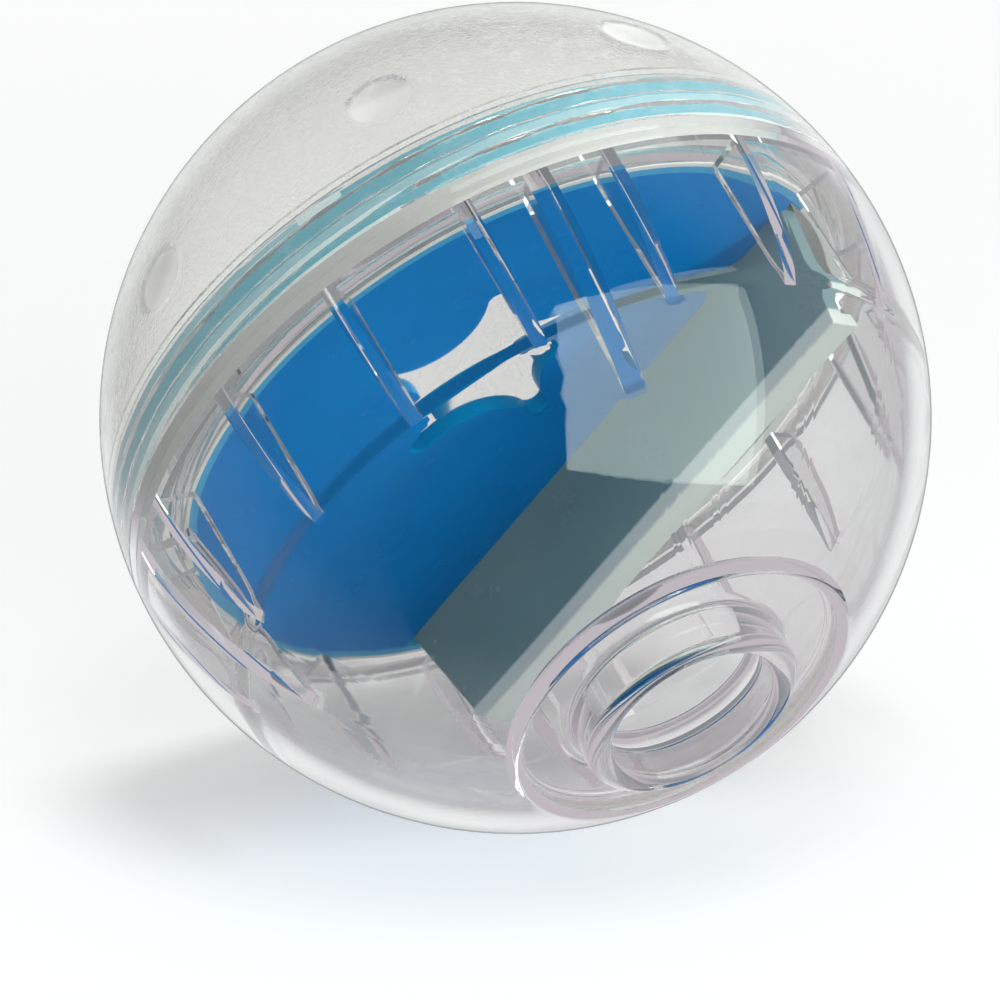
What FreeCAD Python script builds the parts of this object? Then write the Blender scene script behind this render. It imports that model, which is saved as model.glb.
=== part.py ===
# A treat ball: a clear half with a spout, a frosted half that screws onto it, and a blue insert between.
# Millimetres. The origin is the ball's centre, +Z runs along the screw axis out of the spout.

import FreeCAD
import Part
import math
import os
import Sketcher

# Driving sizes: each one is a cell of the spreadsheet, under the same name.
SIZES = {
    # the ball
    "ball_radius": 50.8,
    "dome_wall": 2.6,
    "rib_zone_wall": 2.0,
    "frosted_wall": 2.2,
    # the short and long ribs inside the clear half
    "rib_depth": 4.6,
    "rib_thickness": 1.8,
    "rib_root_depth": 1.2,
    "short_rib_count": 16,
    "short_rib_angle": 13.5,
    "long_rib_count": 4,
    "long_rib_angle": -20.25,
    "long_rib_thickness": 3.0,
    "long_rib_reach": 4.4,
    # the spout, its dish and the rounded rim round the dish
    "spout_bore": 10.9,
    "spout_wall": 3.3,
    "spout_height": 6.1,
    "dish_width": 7.0,
    "dish_depth": 1.2,
    "dish_floor_thickness": 2.0,
    "dish_corner": 0.8,
    "rim_round": 1.0,
    # the thread, from the frosted half's mouth inwards, and the clear ring that carries it
    "mouth_wall": 3.15,
    "shoulder_height": 3.2,
    "neck_wall": 1.3,
    "neck_length": 12.6,
    "neck_chamfer": 0.4,
    "thread_pitch": 4.0,
    "thread_depth": 0.9,
    "thread_turns": 1.75,
    "male_root_width": 2.0,
    "male_crest_width": 1.1,
    "female_root_width": 2.5,
    "female_crest_width": 1.6,
    "thread_end_margin": 0.1,
    "thread_radial_clearance": 0.25,
    "thread_root_overlap": 0.2,
    "ring_gap": 0.15,
    "neck_end_gap": 0.4,
    "mouth_chamfer": 0.5,
    # the thumb dimples of the frosted half
    "dimple_count": 8,
    "dimple_angle": -7.1,
    "dimple_latitude": 24.5,
    "dimple_radius": 4.5,
    "dimple_depth": 0.8,
    # the blue insert
    "seat_gap": 0.05,
    "disc_clearance": 0.3,
    "disc_thickness": 2.2,
    "skirt_wall": 1.8,
    "skirt_length": 12.0,
    "skirt_join": 0.6,
    "insert_angle": -147.0,
    "chord_offset": 14.4,
    "star_centre_x": 13.0,
    "star_centre_y": 0.0,
    "star_angle": -23.0,
    "star_tip_radius": 15.0,
    "star_valley_radius": 8.6,
    "star_tip_round": 1.3,
    # the divider wall
    "divider_thickness": 2.2,
    "divider_height": 16.0,
    "divider_lip_width": 4.6,
    "divider_lip_thickness": 2.0,
    "divider_end_clearance": 0.6,
    "tongue_length": 1.0,
    "tongue_thickness": 0.8,
    "tongue_half_width": 24.0,
    "tongue_clearance": 0.1,
}

STAR_POINTS = 5

LINE = None


class Term:
    """A length or angle: its present value, and the expression that the document keeps."""

    def __init__(self, value, text):
        self.value = value
        self.text = text

    def __add__(self, other):
        other = term(other)
        return Term(self.value + other.value, f"({self.text} + {other.text})")

    def __sub__(self, other):
        other = term(other)
        return Term(self.value - other.value, f"({self.text} - {other.text})")

    def __mul__(self, other):
        other = term(other)
        return Term(self.value * other.value, f"{self.text} * {other.text}")

    def __truediv__(self, other):
        other = term(other)
        return Term(self.value / other.value, f"{self.text} / ({other.text})")

    def __neg__(self):
        return Term(-self.value, f"(-1 * {self.text})")


def term(value):
    """A plain number as a Term; a Term as it is."""
    if isinstance(value, Term):
        return value
    return Term(float(value), f"({value})")


def size(name):
    """The spreadsheet cell of this name."""
    return Term(SIZES[name], f"Sizes.{name}")


def square(length):
    """The length times itself."""
    return length * length


def root(area):
    """The square root."""
    return Term(math.sqrt(area.value), f"sqrt({area.text})")


def other_leg(hypotenuse, leg):
    """The second leg of a right-angled triangle."""
    return root(square(hypotenuse) - square(leg))


def cosine(angle):
    """The cosine of an angle in degrees."""
    angle = term(angle)
    return Term(math.cos(math.radians(angle.value)), f"cos({angle.text})")


def sine(angle):
    """The sine of an angle in degrees."""
    angle = term(angle)
    return Term(math.sin(math.radians(angle.value)), f"sin({angle.text})")


ZERO = term(0)

doc = FreeCAD.newDocument("TreatBall")


def make_sheet():
    """The spreadsheet with one aliased cell for each driving size."""
    sheet = doc.addObject("Spreadsheet::Sheet", "Sizes")
    for row, (name, value) in enumerate(SIZES.items(), start=1):
        sheet.set(f"A{row}", name)
        sheet.set(f"B{row}", str(value))
        sheet.setAlias(f"B{row}", name)
    doc.recompute()


def origin_feature(body, role):
    """The body's own origin plane or axis of this role."""
    return next(f for f in body.Origin.OriginFeatures if f.Role == role)


def new_body(label):
    """An empty body under the name of its piece."""
    body = doc.addObject("PartDesign::Body", label)
    body.Label = label
    return body


def arc_edge(start, end, radius, centre_left):
    """A sketch arc from start to end, and whether the sketcher runs it the other way round."""
    middle = (start + end) * 0.5
    along = end - start
    half = along.Length / 2
    across = FreeCAD.Vector(-along.y, along.x, 0).normalize() * math.sqrt(max(radius**2 - half**2, 0))
    centre = middle + across if centre_left else middle - across
    first, last = (start, end) if centre_left else (end, start)
    angle_one = math.atan2(first.y - centre.y, first.x - centre.x)
    angle_two = math.atan2(last.y - centre.y, last.x - centre.x)
    if angle_two < angle_one:
        angle_two += 2 * math.pi
    circle = Part.Circle(centre, FreeCAD.Vector(0, 0, 1), radius)
    return Part.ArcOfCircle(circle, angle_one, angle_two), not centre_left


class Outline:
    """A closed outline of lines and arcs in one sketch, every corner bound to the sizes."""

    def __init__(self, body, name, plane):
        self.sketch = body.newObject("Sketcher::SketchObject", name)
        self.sketch.AttachmentSupport = [(origin_feature(body, plane), "")]
        self.sketch.MapMode = "FlatFace"
        self.count = 0

    def place(self, across=ZERO, up=ZERO, height=ZERO, turn_z=None, turn_y=None):
        """Shift the sketch in its plane, lift it and turn it about the plane's own axes."""
        offset = {"Base.x": across, "Base.y": up, "Base.z": height}
        turn = turn_z or turn_y
        axis = FreeCAD.Vector(0, 0, 1) if turn_z else FreeCAD.Vector(0, 1, 0)
        spin = FreeCAD.Rotation(axis, turn.value if turn else 0)
        base = FreeCAD.Vector(across.value, up.value, height.value)
        self.sketch.AttachmentOffset = FreeCAD.Placement(base, spin)
        for path, value in offset.items():
            if value is not ZERO:
                self.sketch.setExpression(f"AttachmentOffset.{path}", value.text)
        if turn:
            self.sketch.setExpression("AttachmentOffset.Rotation.Angle", turn.text)
        return self

    def bind(self, constraint, value):
        """Add a dimension and bind it to its expression."""
        index = self.sketch.addConstraint(constraint)
        name = f"size_{self.count}"
        self.count += 1
        self.sketch.renameConstraint(index, name)
        self.sketch.setExpression(f"Constraints.{name}", value.text)

    def pin(self, edge, end, x, y):
        """Fix one corner by its distances from the sketch's origin."""
        if x is ZERO:
            self.sketch.addConstraint(Sketcher.Constraint("PointOnObject", edge, end, -2))
        else:
            self.bind(Sketcher.Constraint("DistanceX", -1, 1, edge, end, x.value), x)
        if y is ZERO:
            self.sketch.addConstraint(Sketcher.Constraint("PointOnObject", edge, end, -1))
        else:
            self.bind(Sketcher.Constraint("DistanceY", -1, 1, edge, end, y.value), y)

    def draw(self, corners):
        """Draw the loop: each corner is x, y and LINE or (radius, centre on the left) to the next."""
        ends = []
        for number, (x, y, edge) in enumerate(corners):
            next_x, next_y, _ = corners[(number + 1) % len(corners)]
            start = FreeCAD.Vector(x.value, y.value, 0)
            end = FreeCAD.Vector(next_x.value, next_y.value, 0)
            if edge is LINE:
                geometry, swapped = Part.LineSegment(start, end), False
            else:
                geometry, swapped = arc_edge(start, end, edge[0].value, edge[1])
            index = self.sketch.addGeometry(geometry, False)
            ends.append((index, 2 if swapped else 1, 1 if swapped else 2))
        for number, (x, y, edge) in enumerate(corners):
            index, first, last = ends[number]
            next_index, next_first, _ = ends[(number + 1) % len(corners)]
            self.sketch.addConstraint(Sketcher.Constraint("Coincident", index, last, next_index, next_first))
            self.pin(index, first, x, y)
            if edge is not LINE:
                self.bind(Sketcher.Constraint("Radius", index, edge[0].value), edge[0])
        return self.sketch


def turned(body, name, sketch, kind="PartDesign::Revolution"):
    """A full turn of the sketch about the ball's axis."""
    feature = body.newObject(kind, name)
    feature.Profile = sketch
    feature.ReferenceAxis = (sketch, ["V_Axis"])
    feature.Angle = 360
    return feature


def pad(body, name, sketch, length, midplane=False, reverse=False, kind="PartDesign::Pad"):
    """A pad, or a pocket, of the sketch."""
    feature = body.newObject(kind, name)
    feature.Profile = sketch
    feature.Midplane = midplane
    feature.Reversed = reverse
    feature.Length = length.value
    feature.setExpression("Length", length.text)
    return feature


def ring_of(body, name, feature, count):
    """Copies of the feature all round the ball's axis."""
    pattern = body.newObject("PartDesign::PolarPattern", name)
    pattern.Originals = [feature]
    pattern.Axis = (origin_feature(body, "Z_Axis"), [""])
    pattern.Angle = 360
    pattern.Occurrences = int(count.value)
    pattern.setExpression("Occurrences", count.text)
    body.Tip = pattern
    return pattern


def thread(body, name, sketch, turns):
    """A right-hand ridge that follows the sketch round the ball's axis."""
    feature = body.newObject("PartDesign::AdditiveHelix", name)
    feature.Profile = sketch
    feature.ReferenceAxis = (sketch, ["V_Axis"])
    feature.Mode = "pitch-turns-angle"
    feature.Pitch = SIZES["thread_pitch"]
    feature.setExpression("Pitch", size("thread_pitch").text)
    feature.Turns = turns.value
    feature.setExpression("Turns", turns.text)
    return feature


# Places that more than one piece uses.
BALL = size("ball_radius")
RIB_ZONE_RADIUS = BALL - size("rib_zone_wall")
DOME_INNER_RADIUS = BALL - size("dome_wall")
RIB_INNER = RIB_ZONE_RADIUS - size("rib_depth")
RIB_TOP_HEIGHT = other_leg(DOME_INNER_RADIUS, RIB_INNER)
RIB_ROOT_RADIUS = BALL - size("rib_root_depth")
LONG_TIP = RIB_INNER - size("long_rib_reach")
LONG_TIP_HEIGHT = other_leg(RIB_ROOT_RADIUS, LONG_TIP)
SHOULDER = size("shoulder_height")
NECK_END = -size("neck_length")
FEMALE_ROOT = BALL - size("mouth_wall")
MALE_CREST = FEMALE_ROOT - size("thread_radial_clearance")
NECK_RADIUS = MALE_CREST - size("thread_depth")
NECK_BORE = NECK_RADIUS - size("neck_wall")
DISC_RADIUS = NECK_BORE - size("disc_clearance")
SKIRT_INNER = DISC_RADIUS - size("skirt_wall")
DISC_TOP = -size("seat_gap")
DISC_UNDERSIDE = DISC_TOP - size("disc_thickness")
CHORD = size("chord_offset")


def clear_dome():
    """The clear half's shell: rib zone, crease, dish, rounded rim and spout in one turned profile."""
    body = new_body("clear_dome")
    corner = size("dish_corner")
    bore = size("spout_bore")
    spout_outer = bore + size("spout_wall")
    dish_wall = spout_outer + size("dish_width")
    # The rim round the dish is a small round that touches the ball's outside from within.
    rim_middle = dish_wall + size("rim_round")
    rim_reach = BALL - size("rim_round")
    rim_height = other_leg(rim_reach, rim_middle)
    rim_scale = BALL / rim_reach
    dish_floor = rim_height - size("dish_depth")
    spout_round = size("spout_wall") / 2
    spout_top = dish_floor + size("spout_height")
    underside = dish_floor - size("dish_floor_thickness")
    ball_arc = (BALL, True)
    corners = [
        (BALL, ZERO, ball_arc),
        (rim_middle * rim_scale, rim_height * rim_scale, (size("rim_round"), True)),
        (dish_wall, rim_height, LINE),
        (dish_wall, dish_floor + corner, LINE),
        (dish_wall - corner, dish_floor, LINE),
        (spout_outer + corner, dish_floor, LINE),
        (spout_outer, dish_floor + corner, LINE),
        (spout_outer, spout_top - spout_round, (spout_round, True)),
        (bore + spout_round, spout_top, (spout_round, True)),
        (bore, spout_top - spout_round, LINE),
        (bore, underside, LINE),
        (other_leg(DOME_INNER_RADIUS, underside), underside, (DOME_INNER_RADIUS, False)),
        (RIB_INNER, RIB_TOP_HEIGHT, LINE),
        (other_leg(RIB_ZONE_RADIUS, RIB_TOP_HEIGHT), RIB_TOP_HEIGHT, (RIB_ZONE_RADIUS, False)),
        (RIB_ZONE_RADIUS, ZERO, LINE),
    ]
    profile = Outline(body, "dome_profile", "XZ_Plane").draw(corners)
    turned(body, "dome_shell", profile)
    add_ribs(body, "short_rib", RIB_INNER)
    add_ribs(body, "long_rib", LONG_TIP)
    return body


def add_ribs(body, kind, tip_radius):
    """One rib that ends inside the wall, and its copies. The inner edge runs to the tip radius."""
    thickness = size("rib_thickness") if kind == "short_rib" else size("long_rib_thickness")
    corners = [
        (RIB_INNER, ZERO, LINE),
        (RIB_ROOT_RADIUS, ZERO, (RIB_ROOT_RADIUS, True)),
        (tip_radius, other_leg(RIB_ROOT_RADIUS, tip_radius), LINE),
    ]
    outline = Outline(body, f"{kind}_profile", "XZ_Plane")
    outline.place(turn_y=size(f"{kind}_angle"))
    first = pad(body, f"{kind}_first", outline.draw(corners), thickness, midplane=True)
    ring_of(body, f"{kind}s", first, size(f"{kind}_count"))


def ridge(body, name, edge_radius, depth, base_width, crest_width, middle, angle):
    """The section of a thread ridge: depth is positive outwards, and its base sinks into the wall."""
    sink = size("thread_root_overlap")
    base_radius = edge_radius - sink if depth.value > 0 else edge_radius + sink
    crest_radius = edge_radius + depth
    half_base, half_crest = base_width / 2, crest_width / 2
    corners = [
        (base_radius, middle - half_base, LINE),
        (edge_radius, middle - half_base, LINE),
        (crest_radius, middle - half_crest, LINE),
        (crest_radius, middle + half_crest, LINE),
        (edge_radius, middle + half_base, LINE),
        (base_radius, middle + half_base, LINE),
    ]
    outline = Outline(body, name, "XZ_Plane")
    outline.place(turn_y=angle)
    return outline.draw(corners)


def male_start():
    """The height of the male ridge's middle where it starts, at the neck's end."""
    return NECK_END + size("neck_chamfer") + size("male_root_width") / 2


def thread_ring():
    """The clear ring that is bonded to the dome: shoulder, neck and male thread."""
    body = new_body("thread_ring")
    chamfer = size("neck_chamfer")
    corners = [
        (NECK_BORE, ZERO, LINE),
        (NECK_BORE, NECK_END, LINE),
        (NECK_RADIUS - chamfer, NECK_END, LINE),
        (NECK_RADIUS, NECK_END + chamfer, LINE),
        (NECK_RADIUS, -SHOULDER, LINE),
        (other_leg(BALL, SHOULDER), -SHOULDER, (BALL, True)),
        (BALL, ZERO, LINE),
    ]
    turned(body, "ring_shell", Outline(body, "ring_profile", "XZ_Plane").draw(corners))
    section = ridge(body, "male_section", NECK_RADIUS, size("thread_depth"),
                    size("male_root_width"), size("male_crest_width"), male_start(), ZERO)
    thread(body, "male_thread", section, size("thread_turns"))
    return body


def frosted_half():
    """The frosted half: a hemisphere with a threaded mouth and thumb dimples."""
    body = new_body("frosted_half")
    inner = BALL - size("frosted_wall")
    rim = -SHOULDER - size("ring_gap")
    ledge = NECK_END - size("neck_end_gap")
    chamfer = size("mouth_chamfer")
    corners = [
        (ZERO, -BALL, (BALL, True)),
        (other_leg(BALL, rim), rim, LINE),
        (FEMALE_ROOT + chamfer, rim, LINE),
        (FEMALE_ROOT, rim - chamfer, LINE),
        (FEMALE_ROOT, ledge, LINE),
        (other_leg(inner, ledge), ledge, (inner, False)),
        (ZERO, -inner, LINE),
    ]
    turned(body, "frosted_shell", Outline(body, "frosted_profile", "XZ_Plane").draw(corners))
    half_width = size("female_root_width") / 2
    start = ledge + half_width + size("thread_end_margin")
    # The female ridge lies half a pitch from the male one, at whatever angle its own start puts it.
    angle = (start - male_start()) / size("thread_pitch") * 360 + 180
    section = ridge(body, "female_section", FEMALE_ROOT, -size("thread_depth"),
                    size("female_root_width"), size("female_crest_width"), start, angle)
    room = rim - chamfer - half_width - start
    thread(body, "female_thread", section, room / size("thread_pitch"))
    add_dimples(body)
    return body


def add_dimples(body):
    """Shallow round dimples for the thumbs, each cut by a sphere that stands outside the ball."""
    radius, depth = size("dimple_radius"), size("dimple_depth")
    edge_height = other_leg(BALL, radius)
    cut_radius = (square(radius) + square(depth)) / (depth * 2)
    centre = edge_height - depth + cut_radius
    level = centre * cosine(size("dimple_latitude"))
    ball = body.newObject("PartDesign::SubtractiveSphere", "dimple_cutter")
    ball.Radius = cut_radius.value
    ball.setExpression("Radius", cut_radius.text)
    place = {
        "x": level * cosine(size("dimple_angle")),
        "y": level * sine(size("dimple_angle")),
        "z": -(centre * sine(size("dimple_latitude"))),
    }
    ball.Placement.Base = FreeCAD.Vector(*(value.value for value in place.values()))
    for letter, value in place.items():
        ball.setExpression(f"Placement.Base.{letter}", value.text)
    ring_of(body, "dimples", ball, size("dimple_count"))


def star_corners():
    """A five-pointed star about the sketch's origin, with rounded tips and hollow sides."""
    tip, valley, rounding = size("star_tip_radius"), size("star_valley_radius"), size("star_tip_round")
    half = 180 / STAR_POINTS
    reach = tip - rounding
    # The side arc touches both tip rounds and passes the valley radius at its middle.
    gap = valley - rounding
    side_centre = (square(reach) - square(gap)) / ((reach * cosine(half) - gap) * 2)
    side_radius = side_centre - valley
    # Where a side arc meets a tip round, on the line between their centres.
    across_x = side_centre * cosine(half) - reach
    across_y = side_centre * sine(half)
    share = rounding / (rounding + side_radius)
    touch_x = reach + across_x * share
    touch_y = across_y * share
    corners = []
    for point in range(STAR_POINTS):
        turn = point * 360 / STAR_POINTS
        for side, edge in ((-1, (rounding, True)), (1, (side_radius, False))):
            y = touch_y * side
            corners.append((
                touch_x * cosine(turn) - y * sine(turn),
                touch_x * sine(turn) + y * cosine(turn),
                edge,
            ))
    return corners


def star_disc():
    """The blue insert: a disc with a straight cut and a star hole, and a skirt that fills the neck."""
    body = new_body("star_disc")
    skirt_end = DISC_TOP - size("skirt_length")
    skirt = [
        (SKIRT_INNER, skirt_end, LINE),
        (DISC_RADIUS, skirt_end, LINE),
        (DISC_RADIUS, DISC_TOP, LINE),
        (SKIRT_INNER, DISC_TOP, LINE),
    ]
    turned(body, "skirt", Outline(body, "skirt_profile", "XZ_Plane").draw(skirt))
    join = SKIRT_INNER + size("skirt_join")
    chord_half = other_leg(join, CHORD)
    floor = [
        (CHORD, chord_half, (join, True)),
        (-join, ZERO, (join, True)),
        (CHORD, -chord_half, LINE),
    ]
    outline = Outline(body, "floor_outline", "XY_Plane")
    outline.place(height=DISC_TOP, turn_z=size("insert_angle"))
    pad(body, "floor", outline.draw(floor), size("disc_thickness"), reverse=True)
    sink = size("skirt_join")
    tongue = [
        (CHORD - sink, -size("tongue_half_width"), LINE),
        (CHORD + size("tongue_length"), -size("tongue_half_width"), LINE),
        (CHORD + size("tongue_length"), size("tongue_half_width"), LINE),
        (CHORD - sink, size("tongue_half_width"), LINE),
    ]
    outline = Outline(body, "tongue_outline", "XY_Plane")
    outline.place(height=tongue_middle(), turn_z=size("insert_angle"))
    pad(body, "tongue", outline.draw(tongue), size("tongue_thickness"), midplane=True)
    outline = Outline(body, "star_outline", "XY_Plane")
    outline.place(size("star_centre_x"), size("star_centre_y"), DISC_TOP, turn_z=size("star_angle"))
    pad(body, "star_hole", outline.draw(star_corners()), size("disc_thickness"),
        kind="PartDesign::Pocket")
    return body


def tongue_middle():
    """The height of the middle of the tongue on the disc's straight cut."""
    return DISC_TOP - size("disc_thickness") / 2


def divider_wall():
    """The milky wall: a plate along the disc's straight cut, with a turned lip at its lower edge."""
    body = new_body("divider_wall")
    thickness, height, lip = size("divider_thickness"), size("divider_height"), size("divider_lip_width")
    far_face = CHORD + thickness
    # The ends stay clear of the long ribs' sloping inner edges at the height of the lip.
    rib_lean = (RIB_INNER - LONG_TIP) / LONG_TIP_HEIGHT
    end_radius = RIB_INNER - rib_lean * height - size("divider_end_clearance")
    top_half = other_leg(SKIRT_INNER - size("disc_clearance"), far_face)
    low_half = other_leg(end_radius, CHORD + lip)
    plate = [
        (-top_half, DISC_UNDERSIDE, LINE),
        (top_half, DISC_UNDERSIDE, LINE),
        (low_half, height, LINE),
        (-low_half, height, LINE),
    ]
    outline = Outline(body, "plate_outline", "YZ_Plane")
    outline.place(height=CHORD)
    pad(body, "plate", outline.draw(plate), thickness)
    lip_box = [
        (far_face - size("skirt_join"), -low_half, LINE),
        (CHORD + lip, -low_half, LINE),
        (CHORD + lip, low_half, LINE),
        (far_face - size("skirt_join"), low_half, LINE),
    ]
    outline = Outline(body, "lip_outline", "XY_Plane")
    outline.place(height=height)
    pad(body, "lip", outline.draw(lip_box), size("divider_lip_thickness"), reverse=True)
    slack = size("tongue_clearance")
    half = size("tongue_half_width") + slack
    groove = [
        (CHORD - slack, -half, LINE),
        (CHORD + size("tongue_length") + slack, -half, LINE),
        (CHORD + size("tongue_length") + slack, half, LINE),
        (CHORD - slack, half, LINE),
    ]
    outline = Outline(body, "groove_outline", "XY_Plane")
    outline.place(height=tongue_middle())
    pad(body, "groove", outline.draw(groove), size("tongue_thickness") + slack * 2, midplane=True,
        kind="PartDesign::Pocket")
    turn = size("insert_angle")
    body.Placement = FreeCAD.Placement(FreeCAD.Vector(), FreeCAD.Rotation(FreeCAD.Vector(0, 0, 1), turn.value))
    body.setExpression("Placement.Rotation.Angle", turn.text)
    return body


def check(bodies):
    """Stop if anything in the document failed or a piece isn't one valid solid."""
    for item in doc.Objects:
        if "Invalid" in item.State or "Error" in item.State:
            raise RuntimeError(f"{item.Name} failed: {item.State}")
    for body in bodies:
        shape = body.Shape
        if shape.isNull() or not shape.isValid() or len(shape.Solids) != 1:
            raise RuntimeError(f"{body.Label} isn't one valid solid")
        print(body.Label, "volume", round(shape.Volume), "faces", len(shape.Faces))


def main():
    """Build every piece, check it and write its STEP file."""
    make_sheet()
    bodies = [clear_dome(), thread_ring(), frosted_half(), star_disc(), divider_wall()]
    doc.recompute()
    check(bodies)
    os.makedirs("parts", exist_ok=True)
    for body in bodies:
        body.Shape.exportStep(f"parts/{body.Label}.step")


main()
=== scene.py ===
"""Looks of a screw-together treat ball: clear ribbed half, frosted half, blue insert and milky divider."""

from __future__ import annotations

import logging
import math
from collections.abc import Callable, Mapping, Sequence
from dataclasses import dataclass, field
from enum import Enum
from typing import Any

import bmesh
import bpy
import numpy as np
from mathutils import Matrix, Vector

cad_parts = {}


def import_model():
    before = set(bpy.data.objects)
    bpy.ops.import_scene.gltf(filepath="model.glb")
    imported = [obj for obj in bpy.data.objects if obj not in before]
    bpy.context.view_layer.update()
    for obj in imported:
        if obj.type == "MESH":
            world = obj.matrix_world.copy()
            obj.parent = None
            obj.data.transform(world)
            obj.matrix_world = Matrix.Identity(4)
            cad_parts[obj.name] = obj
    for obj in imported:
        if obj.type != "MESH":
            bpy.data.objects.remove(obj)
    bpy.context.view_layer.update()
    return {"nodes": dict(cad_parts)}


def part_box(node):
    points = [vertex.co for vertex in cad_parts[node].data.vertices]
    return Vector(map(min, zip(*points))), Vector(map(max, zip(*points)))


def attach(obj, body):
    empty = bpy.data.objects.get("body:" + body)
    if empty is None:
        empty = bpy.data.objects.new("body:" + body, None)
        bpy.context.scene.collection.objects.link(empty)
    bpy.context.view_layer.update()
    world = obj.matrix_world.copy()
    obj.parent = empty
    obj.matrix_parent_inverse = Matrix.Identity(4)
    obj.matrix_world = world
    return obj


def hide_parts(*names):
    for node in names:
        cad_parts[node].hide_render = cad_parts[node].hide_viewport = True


log = logging.getLogger("treat_ball")

MM = 0.001
PHOTO_SIDE = 1000
SHARP_EDGE = math.radians(32)

# In metres, the distance at which points are one and the length under which an edge is none.
SAME_POINT = 1e-7
NO_EDGE = 1e-8

# In millimetres, how far from a wall a point still lies on it.
ON_WALL = 1e-6

Point = tuple[float, float]
Span = tuple[float, float]
Place = tuple[float, float, float]
Colour = tuple[float, float, float]
Stops = tuple[tuple[float, Colour], ...]
Relief = Callable[[np.ndarray, np.ndarray, np.ndarray], np.ndarray]

WHITE: Colour = (1.0, 1.0, 1.0)


class Slot(Enum):
    """Names of four material slots."""

    CLEAR = "clear_plastic"
    FROSTED = "frosted_plastic"
    BLUE = "blue_plastic"
    MILKY = "milky_plastic"


class Body(Enum):
    """The moving bodies that the turned pieces ride on."""

    CLEAR_HALF = "clear_half"
    FROSTED = "frosted"


class Signal:
    """One output of a node. Arithmetic on numbers and signals adds Math nodes."""

    def __init__(self, graph: Graph, node: bpy.types.Node, output: str | int = 0) -> None:
        """Wraps the named or numbered output of a node."""
        self.graph = graph
        self.node = node
        self.socket = node.outputs[output]

    def out(self, output: str | int) -> Signal:
        """Another output of the same node."""
        return Signal(self.graph, self.node, output)

    def __add__(self, other: Signal | float) -> Signal:
        """The sum."""
        return self.graph.math("ADD", self, other)

    def __sub__(self, other: Signal | float) -> Signal:
        """The difference."""
        return self.graph.math("SUBTRACT", self, other)

    def __rsub__(self, other: float) -> Signal:
        """A number less this signal."""
        return self.graph.math("SUBTRACT", other, self)

    def __mul__(self, other: Signal | float) -> Signal:
        """The product."""
        return self.graph.math("MULTIPLY", self, other)

    __radd__ = __add__
    __rmul__ = __mul__

    def __gt__(self, other: Signal | float) -> Signal:
        """1 where this signal is the higher, else 0."""
        return self.graph.math("GREATER_THAN", self, other)

    def __lt__(self, other: Signal | float) -> Signal:
        """1 where this signal is the lower, else 0."""
        return self.graph.math("LESS_THAN", self, other)

    def highest(self, other: Signal | float) -> Signal:
        """The higher of the two."""
        return self.graph.math("MAXIMUM", self, other)


@dataclass(frozen=True)
class Clouds:
    """Soft noise turned into a value.

    Attributes:
        scale: How many swells a metre has.
        detail: How many finer layers the noise has.
        low: The noise at and below which the value is thin.
        high: The noise at and above which it is thick.
        thin: The value between the clouds.
        thick: The value inside them.
    """

    scale: float
    detail: float
    low: float = 0.35
    high: float = 0.7
    thin: float = 0.0
    thick: float = 1.0


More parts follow.
